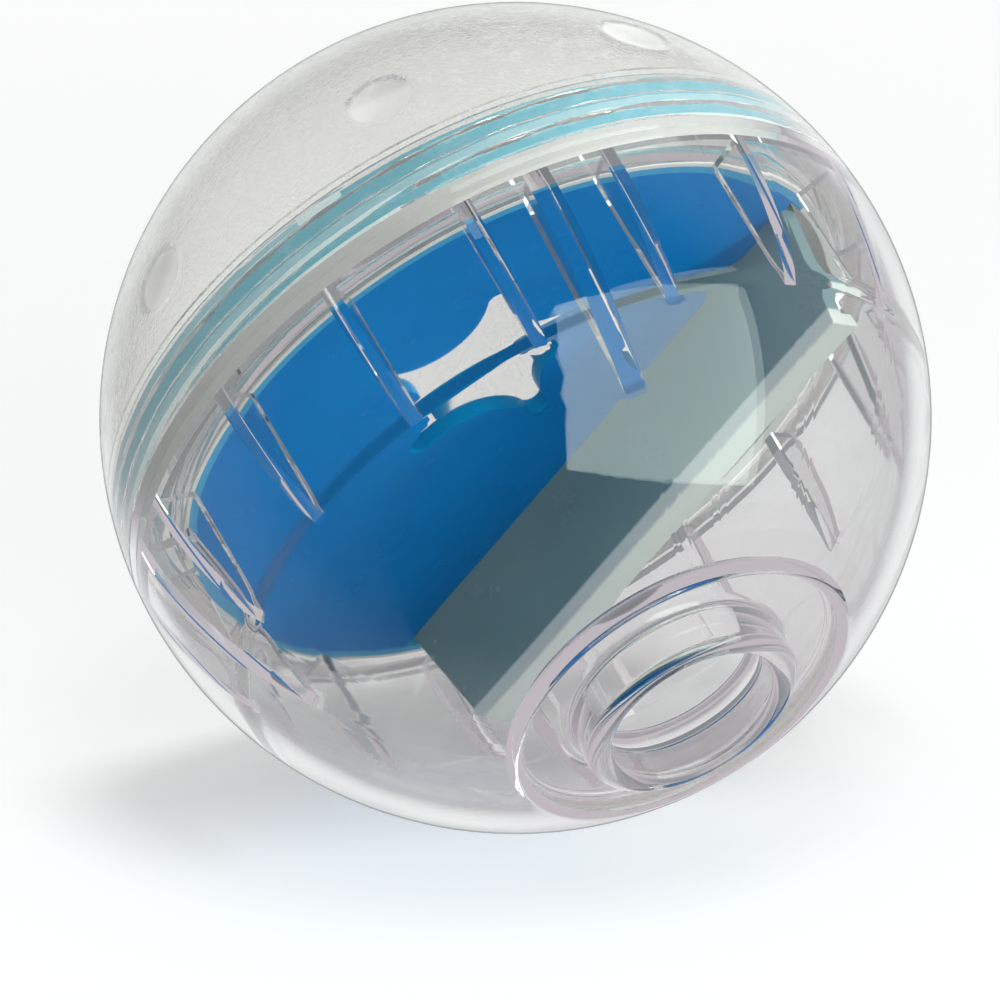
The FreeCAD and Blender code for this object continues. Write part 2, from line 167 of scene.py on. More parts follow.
class Graph:
    """The node tree of one material or of the world."""

    def __init__(self, tree: bpy.types.NodeTree) -> None:
        """Empties the tree."""
        self.tree = tree
        tree.nodes.clear()

    def add(
        self,
        kind: str,
        settings: Mapping[str, Any] | None = None,
        inputs: Mapping[str | int, Any] | None = None,
        output: str | int = 0,
    ) -> Signal:
        """Adds one node.

        Args:
            kind: The node's type.
            settings: The node's properties, set first. A ramp's stops go under "stops".
            inputs: Values or signals for the node's sockets, by name or number.
            output: The output that the signal stands for.

        Returns:
            The signal of that output.
        """
        node = self.tree.nodes.new(kind)
        for name, value in (settings or {}).items():
            if name == "stops":
                self.set_stops(node, value)
            else:
                setattr(node, name, value)
        for name, value in (inputs or {}).items():
            socket = node.inputs[name]
            if isinstance(value, Signal):
                self.tree.links.new(value.socket, socket)
            else:
                socket.default_value = (*value, 1.0) if socket.type == "RGBA" else value
        return Signal(self, node, output)

    @staticmethod
    def set_stops(node: bpy.types.Node, stops: Stops) -> None:
        """Gives a colour ramp its stops.

        Args:
            node: The ramp.
            stops: Their places from 0 to 1 and their colours.
        """
        elements = node.color_ramp.elements
        while len(elements) < len(stops):
            elements.new(0.5)
        for element, (place, colour) in zip(elements, stops):
            element.position = place
            element.color = (*colour, 1.0)

    def math(self, operation: str, one: Signal | float, two: Signal | float) -> Signal:
        """A Math node on two numbers."""
        return self.add("ShaderNodeMath", {"operation": operation}, {0: one, 1: two})

    def mix(self, share: Signal | float, one: Signal | Colour, two: Signal | Colour) -> Signal:
        """A colour between two colours."""
        return self.add("ShaderNodeMix", {"data_type": "RGBA"}, {0: share, 6: one, 7: two}, 2)

    def blend(self, share: Signal | float, one: Signal, two: Signal) -> Signal:
        """A shader between two shaders."""
        return self.add("ShaderNodeMixShader", None, {0: share, 1: one, 2: two})

    def vector(self, operation: str, inputs: Mapping[str | int, Any], output: str = "Vector") -> Signal:
        """A Vector Math node."""
        return self.add("ShaderNodeVectorMath", {"operation": operation}, inputs, output)

    def place(self) -> Signal:
        """The point's place on the object, in metres."""
        return self.add("ShaderNodeTexCoord", output="Object")

    def level(self) -> Signal:
        """The point's height on the object, in metres."""
        return self.add("ShaderNodeSeparateXYZ", None, {0: self.place()}, "Z")

    def reach(self) -> Signal:
        """The point's distance from the object's origin, in metres."""
        return self.vector("LENGTH", {0: self.place()}, "Value")

    def axis_reach(self) -> Signal:
        """The point's distance from the object's upright axis, in metres."""
        flat = self.vector("MULTIPLY", {0: self.place(), 1: (1.0, 1.0, 0.0)})
        return self.vector("LENGTH", {0: flat}, "Value")

    def along(self, angle: float) -> Signal:
        """The point's distance from the origin in a level direction given in degrees, in metres."""
        turn = math.radians(angle)
        way = (math.cos(turn), math.sin(turn), 0.0)
        return self.vector("DOT_PRODUCT", {0: self.place(), 1: way}, "Value")

    def upright(self, wall: float = 0.35, level: float = 0.8) -> Signal:
        """From 0 where the face's tilt is that of a wall to 1 where it is nearly level."""
        normal = self.add("ShaderNodeTexCoord", output="Normal")
        tilt = self.add("ShaderNodeSeparateXYZ", None, {0: normal}, "Z")
        return self.span(self.math("ABSOLUTE", tilt, 0.0), wall, level)

    def noise(self, scale: float, detail: float, at: Signal | None = None) -> Signal:
        """Smooth noise from 0 to 1, with so many swells in a metre."""
        inputs = {"Vector": at or self.place(), "Scale": scale, "Detail": detail}
        return self.add("ShaderNodeTexNoise", None, inputs)

    def clouds(self, clouds: Clouds, at: Signal | None = None) -> Signal:
        """The value of soft clouds."""
        noise = self.noise(clouds.scale, clouds.detail, at)
        return self.span(noise, clouds.low, clouds.high, clouds.thin, clouds.thick)

    def span(self, value: Signal, low: float, high: float, thin: float = 0.0, thick: float = 1.0) -> Signal:
        """The value carried from one range to another and held inside it."""
        inputs = {"Value": value, "From Min": low, "From Max": high, "To Min": thin, "To Max": thick}
        return self.add("ShaderNodeMapRange", {"clamp": True}, inputs)

    def bump(self, height: Signal, depth: float, strength: float = 1.0) -> Signal:
        """A normal from a height between 0 and 1 and its depth in metres."""
        return self.add("ShaderNodeBump", None, {"Height": height, "Distance": depth, "Strength": strength})

    def lamps_pass(self, shader: Signal, tint: Colour) -> Signal:
        """Lets the light of lamps and of dull surfaces straight through.

        Args:
            shader: What the surface is to all other light.
            tint: What the light that passes is multiplied by.

        Returns:
            The new shader.
        """
        path = self.add("ShaderNodeLightPath", output="Is Shadow Ray")
        clear = self.add("ShaderNodeBsdfTransparent", None, {"Color": tint})
        return self.blend(path.highest(path.out("Is Diffuse Ray")), shader, clear)

    def glow_deep(self, shader: Signal, glow: Colour, depth: float = 8.5, mirrored: float = 3.5) -> Signal:
        """Paints a soft glow, an emission standing in for light trapped inside the plastic for many turns.

        Args:
            shader: What the surface is before that.
            glow: The painted glow's colour.
            depth: How many surfaces light has met by then.
            mirrored: How many of them have thrown it back.

        Returns:
            The new shader.
        """
        path = self.add("ShaderNodeLightPath", output="Ray Depth")
        painted_glow = (path > depth).highest(path.out("Glossy Depth") > mirrored)
        light = self.add("ShaderNodeEmission", None, {"Color": glow, "Strength": 1.0})
        return self.blend(painted_glow, shader, light)

    def finish(self, shader: Signal, kind: str = "ShaderNodeOutputMaterial") -> None:
        """Sends the shader to the output."""
        node = self.tree.nodes.new(kind)
        self.tree.links.new(shader.socket, node.inputs["Surface"])


@dataclass(frozen=True)
class Finish:
    """A surface finish that makes one Blender material."""

    name: str

    def shade(self, graph: Graph) -> Signal:
        """Makes the finish's nodes.

        Args:
            graph: The material's node tree.

        Returns:
            The shader.
        """
        raise NotImplementedError

    def material(self) -> bpy.types.Material:
        """Makes a new material with the finish's nodes.

        Returns:
            The material.
        """
        material = bpy.data.materials.new(self.name)
        material.use_nodes = True
        graph = Graph(material.node_tree)
        graph.finish(self.shade(graph))
        return material


@dataclass(frozen=True)
class ClearPlastic(Finish):
    """Clear moulded plastic with a faint mauve tint and the soft waves of its mould."""

    name: str = "clear_moulding"
    tint: Colour = (0.89, 0.885, 0.885)
    dish_tint: Colour = (0.86, 0.835, 0.85)
    dish_bottom: float = 41.0 * MM
    # Colour of the painted glow where a ray has met many surfaces.
    painted_glow: Colour = (0.58, 0.54, 0.57)
    passed: Colour = (0.94, 0.945, 0.945)
    haze: Clouds = Clouds(38.0, 4.0, 0.45, 0.8, thin=0.015, thick=0.06)
    ior: float = 1.49
    wave_scale: float = 55.0
    # Pale dull colour painted on the thread's flanks and crests as painted highlights.
    wave_depth: float = 0.05 * MM
    thread_glint: Colour = (0.78, 0.93, 0.95)
    thread_glint_rough: float = 0.35
    glint_flank: Span | None = None
    glint_top: float = -3.5 * MM
    flank_share: float = 0.5
    crest_share: float = 0.28

    def shade(self, graph: Graph) -> Signal:
        """Makes smooth glass-like plastic with handling haze, and painted highlights on a thread's flanks
        and crests.

        Args:
            graph: The material's node tree.

        Returns:
            The shader.
        """
        shader = graph.add("ShaderNodeBsdfPrincipled", None, {
            "Base Color": graph.mix(graph.level() > self.dish_bottom, self.tint, self.dish_tint),
            "Roughness": graph.clouds(self.haze),
            "IOR": self.ior,
            "Transmission Weight": 1.0,
            "Normal": graph.bump(graph.noise(self.wave_scale, 1.0), self.wave_depth),
        })
        # Painted highlights: a pale dull surface mixed onto the thread's flanks and crests.
        if self.glint_flank:
            inner, outer = self.glint_flank
            reach = graph.axis_reach()
            surface = {"Base Color": self.thread_glint, "Roughness": self.thread_glint_rough}
            ridge = (reach > inner) * (graph.level() < self.glint_top)
            share = ridge * ((reach < outer) * self.flank_share + self.crest_share)
            shader = graph.blend(share, shader, graph.add("ShaderNodeBsdfPrincipled", None, surface))
        return graph.lamps_pass(graph.glow_deep(shader, self.painted_glow), self.passed)


@dataclass(frozen=True)
class FrostedPlastic(Finish):
    """Translucent plastic with a fine crackle pressed into its face, and a smoother band over its thread."""

    name: str = "frosted_crackle"
    tint: Colour = (0.95, 0.94, 0.915)
    frost: Colour = (0.97, 0.965, 0.94)
    frost_rough: float = 0.4
    # Colour of the painted glow where a ray has met many surfaces.
    painted_glow: Colour = (0.66, 0.66, 0.64)
    passed: Colour = (0.935, 0.935, 0.925)
    haze: Clouds = Clouds(90.0, 3.0, 0.3, 0.75, thin=0.08, thick=0.15)
    ior: float = 1.49
    clear_share: float = 0.93
    drift_scale: float = 380.0
    drift_reach: float = 2.4 * MM
    cell_scale: float = 900.0
    pillow_edge: float = 0.22
    grain_scale: float = 1500.0
    grain_share: float = 0.2
    crackle_depth: float = 0.1 * MM
    crackle_strength: float = 0.1
    line_width: Span = (0.03, 0.1)
    line_breaks: Clouds = Clouds(430.0, 1.0, 0.47, 0.56)
    line_share: float = 0.2
    dimple_share: float = 0.4
    dimple_depth: float = 0.3 * MM
    dimple_edge: float = 0.04 * MM
    outside: float = 50.8 * MM
    outer_skin: float = 1.6 * MM
    band_start: float = -15.0 * MM
    band_full: float = -12.5 * MM
    band_smooths_height: float = 0.75
    band_smooths_lines: float = 0.5
    band_smooths_haze: float = 0.8

    def shade(self, graph: Graph) -> Signal:
        """Makes rough transmission with pale worm-like lines, whiter in the dimples.

        Args:
            graph: The material's node tree.

        Returns:
            The shader.
        """
        at = graph.place()
        drift = graph.noise(self.drift_scale, 3.0, at).out("Color")
        shift = graph.vector("SCALE", {0: drift, "Scale": self.drift_reach})
        inputs = {"Vector": graph.vector("ADD", {0: at, 1: shift}), "Scale": self.cell_scale}
        cells = graph.add("ShaderNodeTexVoronoi", {"feature": "DISTANCE_TO_EDGE"}, inputs)
        band = graph.span(graph.level(), self.band_start, self.band_full)
        pillow = graph.span(cells, 0.0, self.pillow_edge)
        grain = graph.noise(self.grain_scale, 3.0, at)
        height = pillow * (1 - self.grain_share) + grain * self.grain_share
        height = height * (1.0 - band * self.band_smooths_height)
        reach = graph.reach()
        outer = reach > self.outside - self.outer_skin
        lines = (1.0 - graph.span(cells, *self.line_width)) * graph.clouds(self.line_breaks, at) * outer
        lines = lines * (1.0 - band * self.band_smooths_lines)
        normal = graph.bump(height, self.crackle_depth, self.crackle_strength)
        plastic = graph.add("ShaderNodeBsdfPrincipled", None, {
            "Base Color": self.tint,
            "Roughness": graph.clouds(self.haze, at) * (1.0 - band * self.band_smooths_haze),
            "IOR": self.ior,
            "Transmission Weight": self.clear_share,
            "Normal": normal,
        })
        frosty = graph.add("ShaderNodeBsdfPrincipled", None, {
            "Base Color": self.frost,
            "Roughness": self.frost_rough,
            "IOR": self.ior,
            "Normal": normal,
        })
        share = (self.pressed(graph, reach) * outer * self.dimple_share).highest(lines * self.line_share)
        shader = graph.glow_deep(graph.blend(share, plastic, frosty), self.painted_glow)
        return graph.lamps_pass(shader, self.passed)

    def pressed(self, graph: Graph, reach: Signal) -> Signal:
        """Finds the dimples' floors.

        Args:
            graph: The material's node tree.
            reach: The point's distance from the ball's centre.

        Returns:
            Up to 1 on the floor of a dimple, else 0.
        """
        deep = 1.0 - graph.span(reach, self.outside - self.dimple_depth, self.outside - self.dimple_edge)
        return deep * (1.0 - graph.span(graph.level(), self.band_start - 1.0 * MM, self.band_start))


@dataclass(frozen=True)
class BluePlastic(Finish):
    """Glossy blue moulded plastic with a painted highlight on its rim, painted glow on its walls, and a pale
    side behind the divider.
    """

    name: str = "blue_moulding"
    colour: Colour = (0.0, 0.20, 0.55)
    deep: Colour = (0.0, 0.155, 0.46)
    # Star-hole and skirt walls are painted lighter than the faces, a painted glow of light through the
    # plastic's edges.
    skirt: Colour = (0.08, 0.55, 0.73)
    hole: Colour = (0.0, 0.26, 0.56)
    # The rim's lighter blue is a painted highlight.
    rim: Colour = (0.06, 0.33, 0.58)
    # The seat colour is a painted reflection of white surroundings on the skirt's top, and also colours the
    # side beyond the divider.
    seat: Colour = (0.66, 0.67, 0.64)
    depths: Clouds = Clouds(28.0, 3.0)
    haze: Clouds = Clouds(120.0, 4.0, 0.3, thin=0.2, thick=0.3)
    ior: float = 1.49
    shine: float = 0.1
    grain_scale: float = 700.0
    grain_depth: float = 0.006 * MM
    skirt_inner: float = 42.5 * MM
    rim_inner: float = 43.3 * MM
    seat_inner: float = 44.35 * MM
    seat_bottom: float = -5.5 * MM
    divider_side: float = -147.0
    divider_place: float = 17.0 * MM

    def shade(self, graph: Graph) -> Signal:
        """Makes a smooth blue with a painted glow on the walls and skirt, a painted highlight on the rim,
        and a painted reflection where it seats in the ball.

        Args:
            graph: The material's node tree.

        Returns:
            The shader.
        """
        reach = graph.axis_reach()
        face = graph.mix(graph.clouds(self.depths), self.colour, self.deep)
        # Painted highlight: lighter blue on the rim.
        face = graph.mix(reach > self.rim_inner, face, self.rim)
        # Painted glow: upright walls take the lighter colours.
        wall_glow = graph.mix(reach > self.skirt_inner, self.hole, self.skirt)
        # Painted reflection: pale on the skirt's top under the shoulder; pale also beyond the divider.
        seat = (reach > self.seat_inner) * (graph.level() > self.seat_bottom)
        pale = seat.highest(graph.along(self.divider_side) > self.divider_place)
        return graph.add("ShaderNodeBsdfPrincipled", None, {
            "Base Color": graph.mix(pale, graph.mix(graph.upright(), wall_glow, face), self.seat),
            "Roughness": graph.clouds(self.haze),
            "IOR": self.ior,
            "Specular IOR Level": self.shine,
            "Normal": graph.bump(graph.noise(self.grain_scale, 2.0), self.grain_depth),
        })


@dataclass(frozen=True)
class MilkyPlastic(Finish):
    """Milky translucent plastic, darkened to a cool grey-teal as painted shade with a painted blue cast, and
    a lip painted pale as a painted highlight.
    """

    name: str = "milky_moulding"
    # Painted shade: the milk colours are darkened and cooled to the grey-teal the divider shows in shade
    # under the blue disc.
    tint: Colour = (0.195, 0.31, 0.32)
    cloud: Colour = (0.24, 0.355, 0.365)
    # The lip's pale colour is a painted highlight along the divider's lit edge.
    lip: Colour = (0.77, 0.84, 0.78)
    lip_start: float = 13.8 * MM
    lip_run: float = 0.4 * MM
    # Colour of the painted glow where a ray has met many surfaces.
    painted_glow: Colour = (0.4, 0.46, 0.48)
    passed: Colour = (0.16, 0.2, 0.24)
    milk: Clouds = Clouds(40.0, 3.0)
    haze: Clouds = Clouds(150.0, 3.0, 0.3, thin=0.2, thick=0.28)
    ior: float = 1.45
    clear_share: float = 0.2

    def shade(self, graph: Graph) -> Signal:
        """Makes hazy transmission with faint clouds.

        Args:
            graph: The material's node tree.

        Returns:
            The shader.
        """
        # Painted shade in the milk colours.
        milk = graph.mix(graph.clouds(self.milk), self.tint, self.cloud)
        # Painted highlight on the lip.
        lip_highlight = graph.span(graph.level(), self.lip_start, self.lip_start + self.lip_run)
        shader = graph.add("ShaderNodeBsdfPrincipled", None, {
            "Base Color": graph.mix(lip_highlight, milk, self.lip),
            "Roughness": graph.clouds(self.haze),
            "IOR": self.ior,
            "Transmission Weight": self.clear_share,
        })
        return graph.lamps_pass(graph.glow_deep(shader, self.painted_glow), self.passed)


@dataclass(frozen=True)
class Paper(Finish):
    """White paper that fades out towards its edge, and isn't seen from below or in reflections."""

    name: str = "floor"
    reach: float = 0.42
    fade: Span = (0.4, 0.95)
    colour: Colour = (0.925, 0.935, 0.93)
    glow: float = 0.29

    def shade(self, graph: Graph) -> Signal:
        """Makes dull paper that shows a little brighter than it lights the ball.

        Args:
            graph: The material's node tree.

        Returns:
            The shader.
        """
        paper = graph.add("ShaderNodeBsdfDiffuse", None, {"Color": self.colour})
        glow = graph.add("ShaderNodeEmission", None, {"Color": WHITE, "Strength": self.glow})
        bright = graph.add("ShaderNodeAddShader", None, {0: paper, 1: glow})
        path = graph.add("ShaderNodeLightPath", output="Is Camera Ray")
        shown = path.highest(path.out("Is Glossy Ray")).highest(path.out("Is Transmission Ray"))
        start, end = self.fade
        faded = graph.span(graph.reach(), self.reach * start, self.reach * end)
        below = graph.add("ShaderNodeNewGeometry", output="Backfacing")
        hidden = faded.highest(below).highest(path.out("Glossy Depth") > 0.5)
        return graph.blend(hidden, graph.blend(shown, paper, bright), graph.add("ShaderNodeBsdfTransparent"))


def arc(centre: Point, radius: float, start: float, end: float, steps: int) -> list[Point]:
    """Points on a round stretch of a profile.

    Args:
        centre: The arc's centre.
        radius: Its radius.
        start: The direction of its first point, in degrees from the r axis.
        end: The direction of its last point.
        steps: How many chords stand for it.

    Returns:
        The points, both ends among them.
    """
    angles = np.radians(np.linspace(start, end, steps + 1))
    return [(centre[0] + radius * math.cos(a), centre[1] + radius * math.sin(a)) for a in angles]


def straight(start: Point, end: Point, steps: int) -> list[Point]:
    """Evenly spaced points on a straight stretch, both ends among them."""
    shares = np.linspace(0.0, 1.0, steps + 1)
    return [(start[0] + (end[0] - start[0]) * s, start[1] + (end[1] - start[1]) * s) for s in shares]


def direction(radius: float, height: float) -> float:
    """The direction of a profile point from the ball's centre, in degrees."""
    return math.degrees(math.atan2(height, radius))


def leg(hypotenuse: float, other: float) -> float:
    """The second leg of a right-angled triangle."""
    return math.sqrt(hypotenuse**2 - other**2)


def smooth(value: np.ndarray) -> np.ndarray:
    """A soft step from 0 to 1."""
    held = np.clip(value, 0.0, 1.0)
    return held * held * (3 - 2 * held)


def evenly(first: float, count: int) -> list[float]:
    """Angles at even steps round a full turn, in degrees."""
    return [first + 360 / count * number for number in range(count)]


def on_wall(radius: np.ndarray, height: np.ndarray, wall: float, low: float, high: float) -> np.ndarray:
    """Which points lie on an upright wall of so wide a radius, between two heights."""
    return (np.abs(radius - wall) < ON_WALL) & (height > low - ON_WALL) & (height < high + ON_WALL)


def solid(
    name: str,
    radius: np.ndarray,
    height: np.ndarray,
    angle: np.ndarray,
    closed: bool,
) -> bpy.types.Object:
    """A solid from a grid of points whose columns go all the way round the ball's axis.

    Args:
        name: The piece's name.
        radius: The points' radii in millimetres, as rows and columns.
        height: Their heights in millimetres, as rows and columns.
        angle: Their angles in radians, as rows and columns or as one row.
        closed: True if the last row joins the first. Otherwise both end rows lie on the axis.

    Returns:
        The new object, smooth shaded with its corners sharp.
    """
    points = np.stack([radius * np.cos(angle), radius * np.sin(angle), height], axis=2) * MM
    rows, columns, _ = points.shape
    build = bmesh.new()
    grid = [[build.verts.new(point) for point in row] for row in points]
    for row in range(rows if closed else rows - 1):
        here, after = grid[row], grid[(row + 1) % rows]
        for column in range(columns):
            beside = (column + 1) % columns
            build.faces.new((here[column], here[beside], after[beside], after[column]))
    bmesh.ops.remove_doubles(build, verts=build.verts, dist=SAME_POINT)
    bmesh.ops.dissolve_degenerate(build, edges=build.edges, dist=NO_EDGE)
    bmesh.ops.recalc_face_normals(build, faces=build.faces)
    mesh = bpy.data.meshes.new(name)
    build.to_mesh(mesh)
    build.free()
    mesh.shade_smooth()
    mesh.set_sharp_from_angle(angle=SHARP_EDGE)
    piece = bpy.data.objects.new(name, mesh)
    bpy.context.scene.collection.objects.link(piece)
    return piece


def turned(
    name: str,
    profile: Sequence[Point],
    columns: int,
    closed: bool,
    relief: Relief,
) -> bpy.types.Object:
    """A profile turned about the ball's axis, with relief on it.

    Args:
        name: The piece's name.
        profile: The outline's points, as radius and height in millimetres.
        columns: How many steps make a full turn.
        closed: True if the outline is a loop off the axis.
        relief: Gives a new radius for the radius, height and angle of each point.

    Returns:
        The new object.
    """
    radii, heights = np.array(profile).T
    turn = np.linspace(0.0, 2 * math.pi, columns, endpoint=False)
    angle, radius = np.meshgrid(turn, radii)
    _, height = np.meshgrid(turn, heights)
    return solid(name, relief(radius, height, angle), height, angle, closed)


def dress(piece: bpy.types.Object, finish: Finish) -> None:
    """Gives a piece its finish.

    Args:
        piece: The piece.
        finish: The finish.
    """
    piece.data.materials.clear()
    piece.data.materials.append(finish.material())
    log.info("%s: %d points", piece.name, len(piece.data.vertices))


def stand_in(piece: bpy.types.Object, body: Body, node: str) -> None:
    """Lets a piece ride on a body and stand for a CAD node."""
    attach(piece, body.value)
    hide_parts(node)


def soften(piece: bpy.types.Object, width: float) -> None:
    """Rounds the sharp edges of a piece by modifiers, which leave its mesh as it is.

    Args:
        piece: The piece.
        width: The rounding's width, in metres.
    """
    weld = piece.modifiers.new("weld", "WELD")
    weld.merge_threshold = 0.001 * MM
    bevel = piece.modifiers.new("bevel", "BEVEL")
    bevel.width = width
    bevel.segments = 3
    bevel.limit_method = "ANGLE"
    bevel.angle_limit = SHARP_EDGE
    bevel.harden_normals = True


@dataclass(frozen=True)
class Helix:
    """A right-hand thread ridge, in millimetres and degrees."""

    start_angle: float
    start_height: float
    turns: float
    half_base: float
    half_crest: float
    pitch: float = 4.0
    depth: float = 0.9
    run_out: float = 14.0

    def rise(self, height: np.ndarray, angle: np.ndarray) -> np.ndarray:
        """Works out the ridge.

        Args:
            height: The points' heights.
            angle: Their angles in radians.

        Returns:
            How far the ridge stands out of its wall at each point.
        """
        out = np.zeros_like(height)
        turn = np.mod(angle - math.radians(self.start_angle), 2 * math.pi) / (2 * math.pi)
        fade = self.run_out / 360
        for lap in range(math.ceil(self.turns) + 1):
            along = turn + lap
            middle = self.start_height + self.pitch * along
            flank = (self.half_base - np.abs(height - middle)) / (self.half_base - self.half_crest)
            ends = smooth(along / fade) * smooth((self.turns - along) / fade)
            out = np.maximum(out, self.depth * np.clip(flank, 0.0, 1.0) * ends)
        return out


@dataclass(frozen=True, order=True)
class Rib:
    """One rib of the clear half: its angle in degrees, half its width in millimetres, and its kind."""

    angle: float
    half: float
    long: bool


@dataclass
class Dome:
    """The clear half's shell with its ribs, dish and spout, in millimetres."""

    ball_radius: float
    inner_radius: float = 48.2
    rib_zone_radius: float = 48.8
    rib_radius: float = 44.2
    short_half: float = 0.9
    short_first: float = 13.5
    short_count: int = 16
    long_half: float = 1.5
    long_first: float = -20.25
    long_count: int = 4
    long_tip_radius: float = 39.8
    edge_round: float = 0.22
    rim_radius: float = 22.2
    rim_round: float = 1.0
    dish_depth: float = 1.2
    dish_thickness: float = 2.0
    dish_corner: float = 0.8
    boss_inset: float = 1.6
    boss_round: float = 0.8
    boss_turn: float = 40.0
    boss_margin: float = 0.2
    bore: float = 10.9
    bore_round: float = 0.4
    spout_wall: float = 3.3
    spout_height: float = 6.1
    crease_run: float = 1.8
    joint_line: float = 0.03
    step: float = 1.5

    def rim_height(self) -> float:
        """The height of the middle of the rounding round the dish."""
        return leg(self.ball_radius - self.rim_round, self.rim_radius)

    def dish_floor(self) -> float:
        """The height of the dish's floor."""
        return self.rim_height() - self.dish_depth

    def underside(self) -> float:
        """The height of the dish's underside."""
        return self.dish_floor() - self.dish_thickness

    def tip_height(self) -> float:
        """The height at which the long ribs' tips run out into the inner face."""
        return leg(self.inner_radius, self.long_tip_radius)

    def outer_profile(self) -> list[Point]:
        """Draws the outer face.

        Returns:
            Points from the equator over the rounded rim, the dish and the spout to the hole's lower edge.
        """
        rim_height, floor = self.rim_height(), self.dish_floor()
        rim_turn = direction(self.rim_radius, rim_height)
        wall = self.rim_radius - self.rim_round
        spout = self.bore + self.spout_wall
        rounding = self.spout_wall / 2
        top = floor + self.spout_height
        corner = self.dish_corner
        edge = (self.bore + self.bore_round, self.underside() + self.bore_round)
        low = direction(self.ball_radius, self.joint_line)
        points = arc((0, 0), self.ball_radius, low, rim_turn, 48)
        points += arc((self.rim_radius, rim_height), self.rim_round, rim_turn, 180, 12)[1:]
        points += arc((wall - corner, floor + corner), corner, 0, -90, 8)
        points += straight((wall - corner, floor), (spout + corner, floor), 4)[1:]
        points += arc((spout + corner, floor + corner), corner, -90, -180, 8)[1:]
        points += arc((self.bore + rounding, top - rounding), rounding, 0, 180, 20)
        points += straight((self.bore, top - rounding), (self.bore, edge[1]), 6)[1:]
        points += arc(edge, self.bore_round, 180, 270, 4)[1:]
        return points

    def crown_profile(self) -> list[Point]:
        """Draws the inner face with the boss that backs the dish.

        Returns:
            Points from the hole to the long ribs' tips.
        """
        underside = self.underside()
        foot = self.rim_radius - self.boss_inset
        edge = self.rim_radius + self.boss_margin
        start = direction(edge, leg(self.inner_radius, edge))
        end = direction(self.long_tip_radius, self.tip_height())
        points = straight((self.bore + self.bore_round, underside), (foot, underside), 6)[1:]
        points += arc((foot, underside + self.boss_round), self.boss_round, -90, self.boss_turn - 90, 6)[1:]
        return points + arc((0, 0), self.inner_radius, start, end, 18)

    def lower_rows(self) -> list[tuple[float, float, float, float]]:
        """Draws the inner face's ribbed part.

        Returns:
            Rows from the long ribs' tips down: height, and the radii of wall, short rib and long rib.
        """
        crease = leg(self.inner_radius, self.rib_radius)
        rows = []
        for height in np.linspace(self.tip_height(), crease, 9)[1:]:
            wall = leg(self.inner_radius, height)
            rows.append((height, wall, wall, self.long_edge(height)))
        run = np.linspace(crease, crease - self.crease_run, 9)
        for height in (*run[:-1], *np.linspace(run[-1], self.joint_line, 17)):
            share = float(smooth((crease - height) / self.crease_run))
            wall = leg(self.inner_radius + (self.rib_zone_radius - self.inner_radius) * share, height)
            rows.append((height, wall, min(wall, self.rib_radius), self.long_edge(height)))
        root = leg(self.rib_zone_radius, self.joint_line)
        rows.append((self.joint_line, root, root, root))
        return rows

    def long_edge(self, height: float) -> float:
        """The radius of a long rib's inner edge at this height."""
        return self.rib_radius + (self.long_tip_radius - self.rib_radius) * height / self.tip_height()

    def ribs(self) -> list[Rib]:
        """Places the ribs.

        Returns:
            All ribs in order of angle.
        """
        short, long = evenly(self.short_first, self.short_count), evenly(self.long_first, self.long_count)
        ribs = [Rib(angle % 360, self.short_half, False) for angle in short]
        ribs += [Rib(angle % 360, self.long_half, True) for angle in long]
        return sorted(ribs)

    def columns(self) -> list[tuple[float, float, float]]:
        """Divides the full turn so that each rib has columns at its corners.

        Returns:
            Columns all round: angle in degrees, and the shares of the short and long rib's profile.
        """
        ribs = self.ribs()
        near = 1 - self.edge_round / (self.rib_zone_radius - self.rib_radius)
        columns = []
        for number, rib in enumerate(ribs):
            reach = math.degrees(rib.half / self.rib_radius)
            flat = math.degrees((rib.half - self.edge_round) / self.rib_radius)
            section = ((-reach, 0), (-reach, near), (-flat, 1), (flat, 1), (reach, near), (reach, 0))
            for place, share in section:
                columns.append((rib.angle + place, share * (not rib.long), share * rib.long))
            last = number == len(ribs) - 1
            after = ribs[0] if last else ribs[number + 1]
            start = rib.angle + reach
            end = after.angle + 360 * last - math.degrees(after.half / self.rib_radius)
            steps = round((end - start) / self.step)
            columns += [(place, 0.0, 0.0) for place in np.linspace(start, end, steps + 1)[1:-1]]
        return columns

    def build(self) -> bpy.types.Object:
        """Makes the whole shell.

        Returns:
            One closed solid.
        """
        degrees, short, long = np.array(self.columns()).T
        angle = np.radians(degrees)
        common = self.outer_profile() + self.crown_profile()
        radii = [np.full(len(angle), radius) for radius, _ in common]
        heights = [height for _, height in common]
        for height, wall, short_edge, long_edge in self.lower_rows():
            radii.append(wall + (short_edge - wall) * short + (long_edge - wall) * long)
            heights.append(height)
        level = np.repeat(np.array(heights)[:, None], len(angle), axis=1)
        return solid("dome_shell", np.array(radii), level, angle, closed=True)

    def fit(self) -> None:
        """Builds the shell, dresses it and lets it stand for its node."""
        shell = self.build()
        dress(shell, ClearPlastic())
        stand_in(shell, Body.CLEAR_HALF, "clear_dome")


